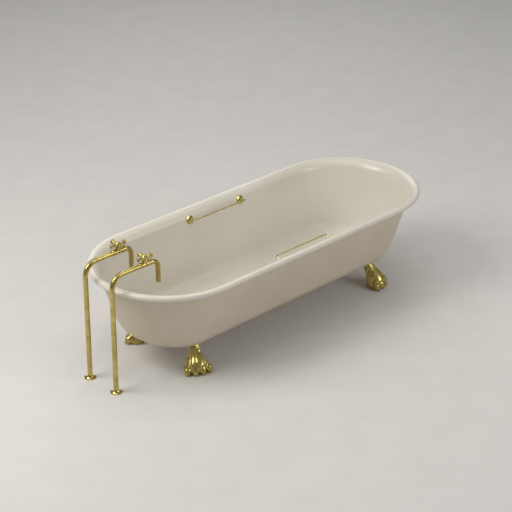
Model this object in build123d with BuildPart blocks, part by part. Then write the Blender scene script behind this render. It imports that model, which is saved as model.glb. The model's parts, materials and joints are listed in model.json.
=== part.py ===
from build123d import *
import os
from math import asin, atan2, cos, degrees, radians, sin, sqrt, tan

os.makedirs("parts", exist_ok=True)

# A free-standing roll-top bathtub on four lion-paw feet, with two floor-standing
# bath taps over one end and a grab rail on the inside of each long wall.
# Millimetres, +Z up, floor at Z = 0. The length runs along X with the taps at -X.
# The hot tap stands at -Y, which is on the left of someone facing the taps.

# Tub casting
tub_length = 1830
tub_width = 723.5
floor_clearance = 114
bead_radius = 12
bead_root_radius = 5
wall_thickness = 8
wall_inset = 44
wall_angle = 16.8
shell_depth = 340
side_bottom_radius = 98
tap_end_bottom_radius = 163
hull_arc_steps = 8

# Waste outlet
waste_from_tap_end = 355
waste_flange_diameter = 70
waste_flange_thickness = 4
waste_flange_edge = 1.2
waste_tail_diameter = 47.8
waste_tail_length = 66
waste_thread_length = 32
waste_spigot_diameter = 43
waste_bore = 36
waste_bar_width = 4
waste_bar_height = 3
waste_hole_play = 1
waste_seal_thickness = 2
backnut_thickness = 11
backnut_flat = 58
plug_seat_diameter = 45
plug_seat_depth = 10
plug_taper = 10
plug_crown = 4
plug_crown_inset = 1.5
plug_knob_diameter = 16
plug_knob_height = 10
plug_knob_round = 4
plug_neck_diameter = 7
plug_neck_height = 5
plug_spigot_depth = 7

# Lion-paw feet
foot_from_end = 340
foot_from_side = 181.75
foot_turn = 66
foot_length = 150
foot_rise = 150
paw_width = 124
ankle_width = 34
toe_count = 4
toe_radius = 21
toe_length = 72
toe_fan_angle = 8
toe_tip_reach = 76
toe_sink = 5
knuckle_radius = 14
knuckle_height = 43
knuckle_reach = 57
knuckle_spread_share = 0.7
foot_seat_height = 100
boss_diameter = 24
boss_setback = 30
foot_web = 12
foot_pocket_width = 24
foot_pocket_height = 30
bolt_diameter = 8
bolt_head_flat = 13
bolt_head_height = 5.3
bolt_engagement = 15
bolt_tip_play = 2
bolt_play = 0.5
washer_diameter = 20
washer_thickness = 1.6

# Standpipes and spouts
tap_spacing = 174
riser_beyond_rim = 34
pipe_diameter = 22
pipe_wall = 1.5
pipe_above_rim = 93.5
riser_bend_radius = 60
spout_bend_radius = 37
spout_reach = 72
spout_drop = 105
spout_lip_round = 0.6
supply_diameter = 15
supply_depth = 20
supply_stop = 3
supply_stop_bore = 12
collar_length = 7
collar_thickness = 2
collar_edge = 0.8
floor_flange_diameter = 52
floor_flange_edge = 2.5
floor_flange_height = 14
floor_flange_neck = 2.5
floor_flange_shoulder = 6

# Valve body and headwork
valve_from_riser = 183
valve_body_length = 52
valve_body_diameter = 27
valve_waist_length = 30
valve_waist_depth = 1
valve_round = 1
valve_neck_diameter = 24
valve_neck_height = 17
socket_depth = 13
chamber_diameter = 17
chamber_floor = 4
waterway_diameter = 7
waterway_drop = 8.5
waterway_rise = 6.5
seal_thickness = 1.2
disc_thickness = 2.5
disc_port_diameter = 4
disc_port_offset = 4
disc_play = 0.2
tongue_width = 3
tongue_length = 9
tongue_depth = 1.2
spindle_flange_diameter = 15
spindle_flange_thickness = 2.5
spindle_diameter = 9
spindle_top_diameter = 7
bonnet_plug_length = 6
bonnet_flat = 22
bonnet_height = 5
bonnet_guide_diameter = 14
bonnet_guide_height = 3.5

# Cross handle
handle_centre_height = 33.5
handle_radius = 38
hub_diameter = 22
hub_height = 13
hub_edge = 1.5
arm_waist_diameter = 9
arm_waist_reach = 14
arm_tip_diameter = 21
arm_tip_length = 3.5
arm_tip_round = 1.4
arm_dish_depth = 3
arm_dish_diameter = 17
spline_depth = 8.5
cap_diameter = 18
cap_rise = 5.5
cap_spigot_diameter = 13
cap_spigot_length = 2
cap_spigot_bore = 9
cap_recess_depth = 2.8
screw_diameter = 4
screw_head_diameter = 7
screw_head_height = 2.2
screw_length = 8

# Grab rails
rail_length = 320
rail_diameter = 6
rail_standoff = 42
rail_bend_radius = 10
rosette_below_rim = 29
rosette_diameter = 40
rosette_edge = 2
rosette_shoulder = 4
rosette_rise = 8
rosette_neck_diameter = 10
stud_diameter = 5
stud_end = 2
fixing_washer_diameter = 15
fixing_washer_thickness = 1.2
fixing_nut_flat = 8
fixing_nut_height = 4

# Clearances
seat_gap = 0.3
thread_gap = 0.1
running_gap = 0.05
cut_overrun = 1

# Derived places
half_length = tub_length / 2
half_width = tub_width / 2
rim_height = floor_clearance + shell_depth
pipe_height = rim_height + pipe_above_rim
foot_from_middle_x = half_length - foot_from_end
foot_from_middle_y = half_width - foot_from_side
slope = tan(radians(wall_angle))
lean_cos = cos(radians(wall_angle))
lean_sin = sin(radians(wall_angle))
end_centre = half_length - half_width
riser_from_middle = half_length + riser_beyond_rim
tub_x = (riser_from_middle + floor_flange_diameter / 2 - half_length) / 2
head_x = tub_x + end_centre
tap_end_x = tub_x - end_centre
riser_x = tub_x - riser_from_middle
valve_x = riser_x + valve_from_riser
tap_y = tap_spacing / 2
pipe_radius = pipe_diameter / 2
pipe_bore_radius = pipe_radius - pipe_wall
tub_floor = floor_clearance + wall_thickness
tap_sides = {"hot": -tap_y, "cold": tap_y}


def upright(x, y, z=0):
    """A vertical working plane whose first axis is X and whose second axis is Z."""
    return Plane(origin=(x, y, z), x_dir=(1, 0, 0), z_dir=(0, -1, 0))


def crosswise(x, y, z=0):
    """A vertical working plane whose first axis is Y and whose second axis is Z."""
    return Plane(origin=(x, y, z), x_dir=(0, 1, 0), z_dir=(1, 0, 0))


def polar(centre, radius, angle):
    """The point at a radius and an angle in degrees from a centre."""
    return (
        centre[0] + radius * cos(radians(angle)),
        centre[1] + radius * sin(radians(angle)),
    )


def vertical_axis(x, y):
    """The upright line through a place on the floor."""
    return Axis((x, y, 0), (0, 0, 1))


def save(piece, name):
    """Label a finished piece and write it."""
    piece.part.label = name
    export_step(piece.part, f"parts/{name}.step")


# The tub's wall leans outward all round. In section it is a straight line that
# turns into an arc at the bottom, and the arc is larger at the tap end, where it
# starts at this depth on the inside.
inner_arc_radius = tap_end_bottom_radius - wall_thickness
arc_top_depth = shell_depth - tap_end_bottom_radius + inner_arc_radius * lean_sin


def wall_reach(depth, bottom_radius, inward=0):
    """How far the wall's face lies inside the rim's edge at a depth below it."""
    radius = bottom_radius - inward
    centre_depth = shell_depth - bottom_radius
    if depth <= centre_depth + radius * lean_sin:
        return wall_inset + inward / lean_cos + slope * depth
    arc_centre = wall_inset + slope * centre_depth + bottom_radius / lean_cos
    drop = min(depth - centre_depth, radius)
    return arc_centre - sqrt(radius**2 - drop**2)


def hull_outline(depth, inward=0):
    """The wall's face at a depth: round at the head, and flatter at the taps."""
    half = half_width - wall_reach(depth, side_bottom_radius, inward)
    nose = half_width - wall_reach(depth, tap_end_bottom_radius, inward)
    with BuildSketch(Plane.XY.offset(rim_height - depth)) as outline:
        with BuildLine():
            Line((tap_end_x, -half), (head_x, -half))
            CenterArc((head_x, 0), half, -90, 180)
            Line((head_x, half), (tap_end_x, half))
            EllipticalCenterArc((tap_end_x, 0), nose, half, 90, arc_size=180)
        make_face()
    return outline.sketch


def hull_sections(inward=0):
    """Sections of the hull from the straight wall down round the larger arc."""
    radius = tap_end_bottom_radius - inward
    centre_depth = shell_depth - tap_end_bottom_radius
    first = degrees(asin((arc_top_depth - centre_depth) / radius))
    turns = [first + (90 - first) * step / hull_arc_steps for step in range(hull_arc_steps + 1)]
    return [hull_outline(centre_depth + radius * sin(radians(turn)), inward) for turn in turns]


def rim_section(plane):
    """The upper wall, its outward flare and the solid rolled bead, in section."""
    bead = (half_width - bead_radius, 0)
    outer_line = half_width - wall_inset
    inner_line = outer_line - wall_thickness / lean_cos
    spread = bead[0] - inner_line - slope * bead_radius
    flare = spread * lean_cos / (1 - lean_sin)
    under = flare - wall_thickness
    flare_centre = (bead[0], bead_radius - flare)
    lift = flare - bead_radius
    meet_rise = (under**2 + lift**2 - bead_radius**2) / (2 * lift)
    meet = (bead[0] - sqrt(under**2 - meet_rise**2), flare_centre[1] + meet_rise)
    meet_turn = degrees(asin(meet_rise / under))
    bead_turn = degrees(atan2(meet[1], meet[0] - bead[0]))
    wall_turn = 180 - wall_angle
    inner_top = polar(flare_centre, flare, wall_turn)
    outer_top = polar(flare_centre, under, wall_turn)
    crest = polar(bead, bead_radius, 90)
    inner_foot = (inner_line - slope * arc_top_depth, -arc_top_depth)
    outer_foot = (outer_line - slope * arc_top_depth, -arc_top_depth)
    with BuildSketch(plane) as section:
        with BuildLine():
            Line(inner_foot, inner_top)
            ThreePointArc(inner_top, polar(flare_centre, flare, (wall_turn + 90) / 2), crest)
            ThreePointArc(crest, polar(bead, bead_radius, (bead_turn - 270) / 2), meet)
            ThreePointArc(
                meet, polar(flare_centre, under, (180 - meet_turn + wall_turn) / 2), outer_top
            )
            Line(outer_top, outer_foot)
            Line(outer_foot, inner_foot)
        make_face()
        fillet(section.vertices().sort_by_distance(meet)[0], bead_root_radius)
    return section.sketch


# Each foot points outward from its corner of the tub. Its plane lies on the floor
# with the first axis towards the toes.
foot_corners = {
    "tap_end_near": (-1, -1),
    "tap_end_far": (-1, 1),
    "head_end_near": (1, -1),
    "head_end_far": (1, 1),
}


def foot_plane(corner, height=0):
    """The working plane of the foot at a corner, at a height above the floor."""
    side_x, side_y = foot_corners[corner]
    forward = (side_x * cos(radians(foot_turn)), side_y * sin(radians(foot_turn)), 0)
    middle = (tub_x + side_x * foot_from_middle_x, side_y * foot_from_middle_y, height)
    return Plane(origin=middle, x_dir=forward, z_dir=(0, 0, 1))


# Rails stand square off the inner wall, which leans back by the wall's angle.
rail_wall_y = (
    half_width - wall_inset - wall_thickness / lean_cos - slope * rosette_below_rim
)
rail_wall_z = rim_height - rosette_below_rim


def rail_wall(side, x=0, out=0):
    """A plane on the inner wall with its normal towards the bather, moved out along it."""
    normal = Vector(0, -side * lean_cos, lean_sin)
    foot = Vector(tub_x + x, side * rail_wall_y, rail_wall_z)
    return Plane(origin=foot + normal * out, x_dir=(1, 0, 0), z_dir=normal)


rail_ends = [-rail_length / 2, rail_length / 2]
waste_x = tub_x - half_length + waste_from_tap_end
waste_hole_radius = waste_tail_diameter / 2 + waste_hole_play

# Tub shell: the rolled rim and upper wall are extruded along the sides and turned
# round the ends, and the rest of the hull is lofted down to the flat bottom.
with BuildPart() as tub_shell:
    extrude(rim_section(crosswise(tap_end_x, 0, rim_height)), amount=2 * end_centre)
    mirror(about=Plane.XZ)
    revolve(
        rim_section(crosswise(head_x, 0, rim_height)),
        axis=Axis((head_x, 0, 0), (0, 0, -1)),
        revolution_arc=180,
    )
    revolve(
        rim_section(crosswise(tap_end_x, 0, rim_height)),
        axis=Axis((tap_end_x, 0, 0), (0, 0, 1)),
        revolution_arc=180,
    )
    loft(hull_sections())
    for corner in foot_corners:
        with BuildSketch(foot_plane(corner, foot_seat_height)):
            with Locations((-boss_setback, 0)):
                Circle(boss_diameter / 2)
        extrude(amount=foot_rise - foot_seat_height)
    loft(hull_sections(wall_thickness), mode=Mode.SUBTRACT)
    for corner in foot_corners:
        with BuildSketch(foot_plane(corner, foot_seat_height)):
            with Locations((-boss_setback, 0)):
                Circle(bolt_diameter / 2 + thread_gap)
        extrude(amount=bolt_engagement + bolt_tip_play, mode=Mode.SUBTRACT)
    with BuildSketch(Plane.XY.offset(floor_clearance - cut_overrun)):
        with Locations((waste_x, 0)):
            Circle(waste_hole_radius)
    extrude(amount=wall_thickness + 2 * cut_overrun, mode=Mode.SUBTRACT)
    for side in (-1, 1):
        for end in rail_ends:
            with BuildSketch(rail_wall(side, end, cut_overrun)):
                Circle(stud_diameter / 2 + seat_gap)
            extrude(amount=-wall_thickness - 2 * cut_overrun, mode=Mode.SUBTRACT)
save(tub_shell, "tub_shell")

# The space just outside the hull, which the tops of the feet are cut to.
with BuildPart() as hull_clearance:
    loft(hull_sections(-seat_gap))

# Foot sections from the sole up to the top of the ankle: where each is centred and
# how long it is, as shares of the foot's length, and how far its width lies from
# the ankle's towards the paw's.
foot_height_shares = (0, 0.2, 0.4, 0.6, 0.8, 1)
foot_centre_shares = (0.11, 0.12, 0.06, -0.08, -0.22, -0.34)
foot_half_length_shares = (0.25, 0.29, 0.275, 0.205, 0.165, 0.155)
foot_width_shares = (0.72, 0.82, 0.46, 0.13, 0.02, 0)
toe_pitch = (paw_width - 2 * toe_radius) / (toe_count - 1)
toe_places = [index - (toe_count - 1) / 2 for index in range(toe_count)]


def foot_section(corner, height_share, centre_share, half_length_share, width_share):
    """One level section of a foot's leg and paw."""
    width = ankle_width + (paw_width - ankle_width) * width_share
    with BuildSketch(foot_plane(corner, foot_rise * height_share)) as section:
        with Locations((foot_length * centre_share, 0)):
            Ellipse(foot_length * half_length_share, width / 2)
    return section.sketch


def toe_plane(corner, place):
    """An upright plane along one toe, with its first axis towards the claw."""
    base = foot_plane(corner)
    turn = radians(place * toe_fan_angle)
    forward = base.x_dir * cos(turn) + base.y_dir * sin(turn)
    middle = base.origin + base.y_dir * (place * toe_pitch * cos(turn))
    return Plane(origin=middle, x_dir=forward, z_dir=forward.cross(Vector(0, 0, 1)))


for corner in foot_corners:
    shares = zip(
        foot_height_shares, foot_centre_shares, foot_half_length_shares, foot_width_shares
    )
    with BuildPart() as foot:
        loft([foot_section(corner, *share) for share in shares])
        for place in toe_places:
            plane = toe_plane(corner, place)
            tip = toe_tip_reach - abs(place) * toe_radius / 2
            toe_middle = (tip - toe_length / 2, toe_radius - toe_sink)
            with BuildSketch(plane):
                with Locations(toe_middle):
                    Ellipse(toe_length / 2, toe_radius)
                    Rectangle(
                        toe_length,
                        toe_radius,
                        align=(Align.CENTER, Align.MAX),
                        mode=Mode.SUBTRACT,
                    )
            revolve(axis=Axis(plane.from_local_coords(toe_middle), plane.x_dir))
            knuckle_x = knuckle_reach - abs(place) * toe_radius / 2
            knuckle_plane = toe_plane(corner, place * knuckle_spread_share)
            with Locations(knuckle_plane.from_local_coords((knuckle_x, knuckle_height))):
                Sphere(knuckle_radius)
        split(bisect_by=Plane.XY, keep=Keep.TOP)
        add(hull_clearance.part, mode=Mode.SUBTRACT)
        with BuildSketch(foot_plane(corner, foot_seat_height)):
            with Locations((-boss_setback, 0)):
                Circle(boss_diameter / 2 + seat_gap)
        extrude(amount=foot_rise, mode=Mode.SUBTRACT)
        with BuildSketch(foot_plane(corner, foot_seat_height - foot_web - cut_overrun)):
            with Locations((-boss_setback, 0)):
                Circle(bolt_diameter / 2 + bolt_play)
        extrude(amount=foot_web + 2 * cut_overrun, mode=Mode.SUBTRACT)
        with BuildSketch(foot_plane(corner, foot_seat_height - foot_web)):
            with Locations((-boss_setback, 0)):
                Circle(foot_pocket_width / 2)
                Rectangle(foot_length, foot_pocket_width, align=(Align.MAX, Align.CENTER))
        extrude(amount=-foot_pocket_height, mode=Mode.SUBTRACT)
    save(foot, f"paw_foot_{corner}")


# Foot bolts screw up from the pocket in each foot into the boss under the tub.
web_underside = foot_seat_height - foot_web
with BuildPart() as foot_washers:
    for corner in foot_corners:
        with BuildSketch(foot_plane(corner, web_underside)):
            with Locations((-boss_setback, 0)):
                Circle(washer_diameter / 2)
                Circle(bolt_diameter / 2 + bolt_play, mode=Mode.SUBTRACT)
        extrude(amount=-washer_thickness)
save(foot_washers, "foot_washers")

with BuildPart() as foot_bolts:
    for corner in foot_corners:
        with BuildSketch(foot_plane(corner, web_underside - washer_thickness)):
            with Locations((-boss_setback, 0)):
                RegularPolygon(bolt_head_flat / 2, 6, major_radius=False)
        extrude(amount=-bolt_head_height)
        with BuildSketch(foot_plane(corner, web_underside - washer_thickness)):
            with Locations((-boss_setback, 0)):
                Circle(bolt_diameter / 2)
        extrude(amount=washer_thickness + foot_web + bolt_engagement)
save(foot_bolts, "foot_bolts")

# Waste outlet: a dished flange in the floor of the tub with a threaded tail that a
# back nut pulls down, with a rubber seal above and below the floor. The plain
# spigot below the thread takes the trap.
flange_underside = tub_floor + waste_seal_thickness
flange_top = flange_underside + waste_flange_thickness
tail_end = flange_top - waste_tail_length
thread_end = flange_top - waste_thread_length
seat_bottom_radius = plug_seat_diameter / 2 - plug_seat_depth * tan(radians(plug_taper))
with BuildPart() as waste_flange:
    with BuildSketch(upright(waste_x, 0)):
        with BuildLine():
            Polyline(
                (waste_bore / 2, tail_end),
                (waste_spigot_diameter / 2, tail_end),
                (waste_spigot_diameter / 2, thread_end),
                (waste_tail_diameter / 2, thread_end),
                (waste_tail_diameter / 2, flange_underside),
                (waste_flange_diameter / 2, flange_underside),
                (waste_flange_diameter / 2, flange_underside + waste_flange_edge),
                (plug_seat_diameter / 2 + waste_flange_edge, flange_top),
                (plug_seat_diameter / 2, flange_top),
                (seat_bottom_radius, flange_top - plug_seat_depth),
                (waste_bore / 2, flange_top - plug_seat_depth),
                close=True,
            )
        make_face()
    revolve(axis=vertical_axis(waste_x, 0))
    bar_length = waste_bore + waste_flange_thickness
    with BuildSketch(Plane.XY.offset(flange_top - plug_seat_depth)):
        with Locations((waste_x, 0)):
            Rectangle(bar_length, waste_bar_width)
            Rectangle(waste_bar_width, bar_length)
    extrude(amount=-waste_bar_height)
save(waste_flange, "waste_flange")

with BuildPart() as waste_seals:
    for base in (tub_floor, floor_clearance - waste_seal_thickness):
        with BuildSketch(Plane.XY.offset(base)):
            with Locations((waste_x, 0)):
                Circle(backnut_flat / 2)
                Circle(waste_tail_diameter / 2 + thread_gap, mode=Mode.SUBTRACT)
        extrude(amount=waste_seal_thickness)
save(waste_seals, "waste_seals")

with BuildPart() as waste_backnut:
    with BuildSketch(Plane.XY.offset(floor_clearance - waste_seal_thickness)):
        with Locations((waste_x, 0)):
            RegularPolygon(backnut_flat / 2, 6, major_radius=False)
            Circle(waste_tail_diameter / 2 + thread_gap, mode=Mode.SUBTRACT)
    extrude(amount=-backnut_thickness)
save(waste_backnut, "waste_backnut")

# The plug is a tapered rubber bung with a turned knob pressed into it.
plug_radius = plug_seat_diameter / 2 - running_gap / cos(radians(plug_taper))
plug_top = flange_top + plug_crown
plug_hole_floor = plug_top - plug_spigot_depth - running_gap
with BuildPart() as waste_plug:
    with BuildSketch(upright(waste_x, 0)):
        with BuildLine():
            Polyline(
                (0, flange_top - plug_seat_depth + seat_gap),
                (
                    plug_radius - (plug_seat_depth - seat_gap) * tan(radians(plug_taper)),
                    flange_top - plug_seat_depth + seat_gap,
                ),
                (plug_radius, flange_top),
                (plug_radius - plug_crown_inset, plug_top),
                (plug_neck_diameter / 2 + running_gap, plug_top),
                (plug_neck_diameter / 2 + running_gap, plug_hole_floor),
                (0, plug_hole_floor),
                close=True,
            )
        make_face()
    revolve(axis=vertical_axis(waste_x, 0))
save(waste_plug, "waste_plug")

with BuildPart() as plug_knob:
    knob_foot = plug_top + plug_neck_height
    knob_top = knob_foot + plug_knob_height
    with BuildSketch(upright(waste_x, 0)) as knob_profile:
        with BuildLine():
            Polyline(
                (0, plug_top - plug_spigot_depth),
                (plug_neck_diameter / 2, plug_top - plug_spigot_depth),
                (plug_neck_diameter / 2, knob_foot),
                (plug_knob_diameter / 2, knob_foot),
                (plug_knob_diameter / 2, knob_top),
                (0, knob_top),
                close=True,
            )
        make_face()
        fillet(knob_profile.vertices().sort_by(Axis.X)[-2:], plug_knob_round)
    revolve(axis=vertical_axis(waste_x, 0))
save(plug_knob, "plug_knob")


# The taps: a pipe rises from the floor beside the tap end and bends over the rim
# into a valve body, and a spout bends down from the body's other end.
body_half = valve_body_length / 2
body_radius = valve_body_diameter / 2
pipe_stop = body_half - socket_depth + seat_gap
spout_x = valve_x + spout_reach


def pipe_route(plane, points, bend_radius):
    """The centre line of a bent pipe."""
    with BuildLine(plane) as route:
        FilletPolyline(*points, radius=bend_radius)
    return route.line


def pipe_face(plane, radius):
    """The round face that a pipe's centre line carries along."""
    with BuildSketch(plane) as face:
        Circle(radius)
    return face.sketch


def ring_profile(plane, inner, outer, low, high, edge):
    """A band's half section with its two outer corners bevelled."""
    with BuildSketch(plane) as profile:
        with BuildLine():
            Polyline(
                (inner, low),
                (outer - edge, low),
                (outer, low + edge),
                (outer, high - edge),
                (outer - edge, high),
                (inner, high),
                close=True,
            )
        make_face()
    return profile.sketch


for name, y in tap_sides.items():
    tap_wall = upright(0, y)
    upright_line = vertical_axis(valve_x, y)
    pipe_line = Axis((valve_x, y, pipe_height), (1, 0, 0))

    riser_points = [(riser_x, 0), (riser_x, pipe_height), (valve_x - pipe_stop, pipe_height)]
    riser_route = pipe_route(tap_wall, riser_points, riser_bend_radius)
    riser_start = Plane(origin=(riser_x, y, 0), z_dir=(0, 0, 1))
    with BuildPart() as riser_pipe:
        sweep(pipe_face(riser_start, pipe_radius), path=riser_route)
        sweep(pipe_face(riser_start, pipe_bore_radius), path=riser_route, mode=Mode.SUBTRACT)
        with BuildSketch(riser_start):
            Circle(pipe_radius)
            Circle(supply_stop_bore / 2, mode=Mode.SUBTRACT)
        extrude(amount=supply_depth + supply_stop)
        with BuildSketch(riser_start):
            Circle(supply_diameter / 2 + running_gap)
        extrude(amount=supply_depth, mode=Mode.SUBTRACT)
    save(riser_pipe, f"riser_pipe_{name}")

    spout_points = [
        (valve_x + pipe_stop, pipe_height),
        (spout_x, pipe_height),
        (spout_x, pipe_height - spout_drop),
    ]
    spout_route = pipe_route(tap_wall, spout_points, spout_bend_radius)
    spout_start = Plane(origin=(valve_x + pipe_stop, y, pipe_height), z_dir=(1, 0, 0))
    with BuildPart() as spout:
        sweep(pipe_face(spout_start, pipe_radius), path=spout_route)
        sweep(pipe_face(spout_start, pipe_bore_radius), path=spout_route, mode=Mode.SUBTRACT)
        fillet(spout.faces().sort_by(Axis.Z)[0].edges(), spout_lip_round)
    save(spout, f"spout_{name}")

    with BuildPart() as floor_flange:
        with BuildSketch(upright(riser_x, y)):
            with BuildLine():
                flange_bore = pipe_radius + thread_gap
                neck = pipe_radius + floor_flange_neck
                edge = floor_flange_diameter / 2
                Line((flange_bore, 0), (edge, 0))
                Line((edge, 0), (edge, floor_flange_edge))
                ThreePointArc(
                    (edge, floor_flange_edge),
                    ((edge + neck) / 2, floor_flange_shoulder),
                    (neck, floor_flange_height),
                )
                Line((neck, floor_flange_height), (flange_bore, floor_flange_height))
                Line((flange_bore, floor_flange_height), (flange_bore, 0))
            make_face()
        revolve(axis=vertical_axis(riser_x, y))
    save(floor_flange, f"floor_flange_{name}")

    with BuildPart() as pipe_collars:
        for direction in (-1, 1):
            collar_plane = Plane(
                origin=(valve_x + direction * body_half, y, pipe_height),
                x_dir=(0, 0, 1),
                z_dir=(0, direction, 0),
            )
            revolve(
                ring_profile(
                    collar_plane,
                    pipe_radius + running_gap,
                    pipe_radius + collar_thickness,
                    0,
                    collar_length,
                    collar_edge,
                ),
                axis=pipe_line,
            )
    save(pipe_collars, f"pipe_collars_{name}")

    # Valve body: a short barrel with a neck, a chamber sunk down the neck, and a
    # low inlet and a high outlet on opposite sides of the seat.
    with BuildPart() as valve_body:
        with BuildSketch(Plane(origin=(valve_x, y, pipe_height), x_dir=(1, 0, 0), z_dir=(0, -1, 0))):
            with BuildLine():
                waist_half = valve_waist_length / 2
                waist_radius = body_radius - valve_waist_depth
                Polyline(
                    (-body_half, 0),
                    (-body_half, body_radius),
                    (-waist_half, body_radius),
                    (-waist_half, waist_radius),
                    (waist_half, waist_radius),
                    (waist_half, body_radius),
                    (body_half, body_radius),
                    (body_half, 0),
                    close=True,
                )
            make_face()
        revolve(axis=pipe_line)
        fillet(valve_body.edges().filter_by(GeomType.CIRCLE).group_by(SortBy.RADIUS)[-1], valve_round / 2)
        with BuildSketch(Plane(origin=(valve_x, y, pipe_height), z_dir=(0, 0, 1))):
            Circle(valve_neck_diameter / 2)
        extrude(amount=valve_neck_height)
        with BuildSketch(Plane(origin=(valve_x, y, pipe_height - chamber_floor), z_dir=(0, 0, 1))):
            Circle(chamber_diameter / 2)
        extrude(amount=chamber_floor + valve_neck_height, mode=Mode.SUBTRACT)
        for direction in (-1, 1):
            socket_plane = Plane(
                origin=(valve_x + direction * body_half, y, pipe_height),
                z_dir=(-direction, 0, 0),
            )
            with BuildSketch(socket_plane):
                Circle(pipe_radius + running_gap)
            extrude(amount=socket_depth, mode=Mode.SUBTRACT)
        inlet_plane = Plane(origin=(valve_x, y, pipe_height - waterway_drop), z_dir=(-1, 0, 0))
        with BuildSketch(inlet_plane):
            Circle(waterway_diameter / 2)
        extrude(amount=body_half - socket_depth, mode=Mode.SUBTRACT)
        with BuildSketch(Plane(origin=(valve_x, y, pipe_height - waterway_drop), z_dir=(0, 0, 1))):
            Circle(waterway_diameter / 2)
        extrude(amount=waterway_drop - chamber_floor, mode=Mode.SUBTRACT)
        outlet_plane = Plane(origin=(valve_x, y, pipe_height + waterway_rise), z_dir=(1, 0, 0))
        with BuildSketch(outlet_plane):
            Circle(waterway_diameter / 2)
        extrude(amount=body_half - socket_depth, mode=Mode.SUBTRACT)
    save(valve_body, f"valve_body_{name}")

    # Quarter-turn headwork: a rubber seal, a fixed ceramic disc and a turning one,
    # driven by the spindle, under a bonnet screwed into the neck.
    disc_radius = chamber_diameter / 2 - disc_play
    seal_base = pipe_height - chamber_floor
    fixed_base = seal_base + seal_thickness
    turning_base = fixed_base + disc_thickness + running_gap
    spindle_base = turning_base + disc_thickness + running_gap
    bonnet_seat = pipe_height + valve_neck_height
    guide_top = bonnet_seat + bonnet_height + bonnet_guide_height
    handle_middle = pipe_height + handle_centre_height
    hub_base = handle_middle - hub_height / 2
    hub_top = hub_base + hub_height
    spindle_top = hub_base + spline_depth - seat_gap

    with BuildPart() as seat_seal:
        with BuildSketch(Plane(origin=(valve_x, y, seal_base), z_dir=(0, 0, 1))):
            Circle(disc_radius)
            Circle(waterway_diameter / 2, mode=Mode.SUBTRACT)
        extrude(amount=seal_thickness)
    save(seat_seal, f"seat_seal_{name}")

    with BuildPart() as fixed_disc:
        with BuildSketch(Plane(origin=(valve_x, y, fixed_base), z_dir=(0, 0, 1))):
            Circle(disc_radius)
            with Locations((disc_port_offset, 0), (-disc_port_offset, 0)):
                Circle(disc_port_diameter / 2, mode=Mode.SUBTRACT)
        extrude(amount=disc_thickness)
    save(fixed_disc, f"fixed_disc_{name}")

    with BuildPart() as turning_disc:
        with BuildSketch(Plane(origin=(valve_x, y, turning_base), z_dir=(0, 0, 1))):
            Circle(disc_radius)
            with Locations((0, disc_port_offset), (0, -disc_port_offset)):
                Circle(disc_port_diameter / 2, mode=Mode.SUBTRACT)
        extrude(amount=disc_thickness)
        with BuildSketch(Plane(origin=(valve_x, y, turning_base + disc_thickness), z_dir=(0, 0, 1))):
            Rectangle(tongue_length + 2 * running_gap, tongue_width + 2 * running_gap)
        extrude(amount=-tongue_depth - running_gap, mode=Mode.SUBTRACT)
    save(turning_disc, f"turning_disc_{name}")

    with BuildPart() as spindle:
        with BuildSketch(Plane(origin=(valve_x, y, spindle_base), z_dir=(0, 0, 1))):
            Rectangle(tongue_length, tongue_width)
        extrude(amount=-tongue_depth)
        with BuildSketch(Plane(origin=(valve_x, y, spindle_base), z_dir=(0, 0, 1))):
            Circle(spindle_flange_diameter / 2)
        extrude(amount=spindle_flange_thickness)
        with BuildSketch(Plane(origin=(valve_x, y, spindle_base), z_dir=(0, 0, 1))):
            Circle(spindle_diameter / 2)
        extrude(amount=guide_top - spindle_base)
        with BuildSketch(Plane(origin=(valve_x, y, guide_top), z_dir=(0, 0, 1))):
            Circle(spindle_top_diameter / 2)
        extrude(amount=spindle_top - guide_top)
        with BuildSketch(Plane(origin=(valve_x, y, spindle_top), z_dir=(0, 0, 1))):
            Circle(screw_diameter / 2 + running_gap)
        extrude(amount=-screw_length, mode=Mode.SUBTRACT)
    save(spindle, f"spindle_{name}")

    with BuildPart() as bonnet:
        with BuildSketch(Plane(origin=(valve_x, y, bonnet_seat), z_dir=(0, 0, 1))):
            RegularPolygon(bonnet_flat / 2, 6, major_radius=False)
        extrude(amount=bonnet_height)
        with BuildSketch(Plane(origin=(valve_x, y, bonnet_seat), z_dir=(0, 0, 1))):
            Circle(chamber_diameter / 2 - thread_gap)
        extrude(amount=-bonnet_plug_length)
        with BuildSketch(Plane(origin=(valve_x, y, bonnet_seat + bonnet_height), z_dir=(0, 0, 1))):
            Circle(bonnet_guide_diameter / 2)
        extrude(amount=bonnet_guide_height)
        with BuildSketch(Plane(origin=(valve_x, y, bonnet_seat - bonnet_plug_length), z_dir=(0, 0, 1))):
            Circle(spindle_diameter / 2 + running_gap)
        extrude(
            amount=bonnet_plug_length + bonnet_height + bonnet_guide_height,
            mode=Mode.SUBTRACT,
        )
    save(bonnet, f"bonnet_{name}")

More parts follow.
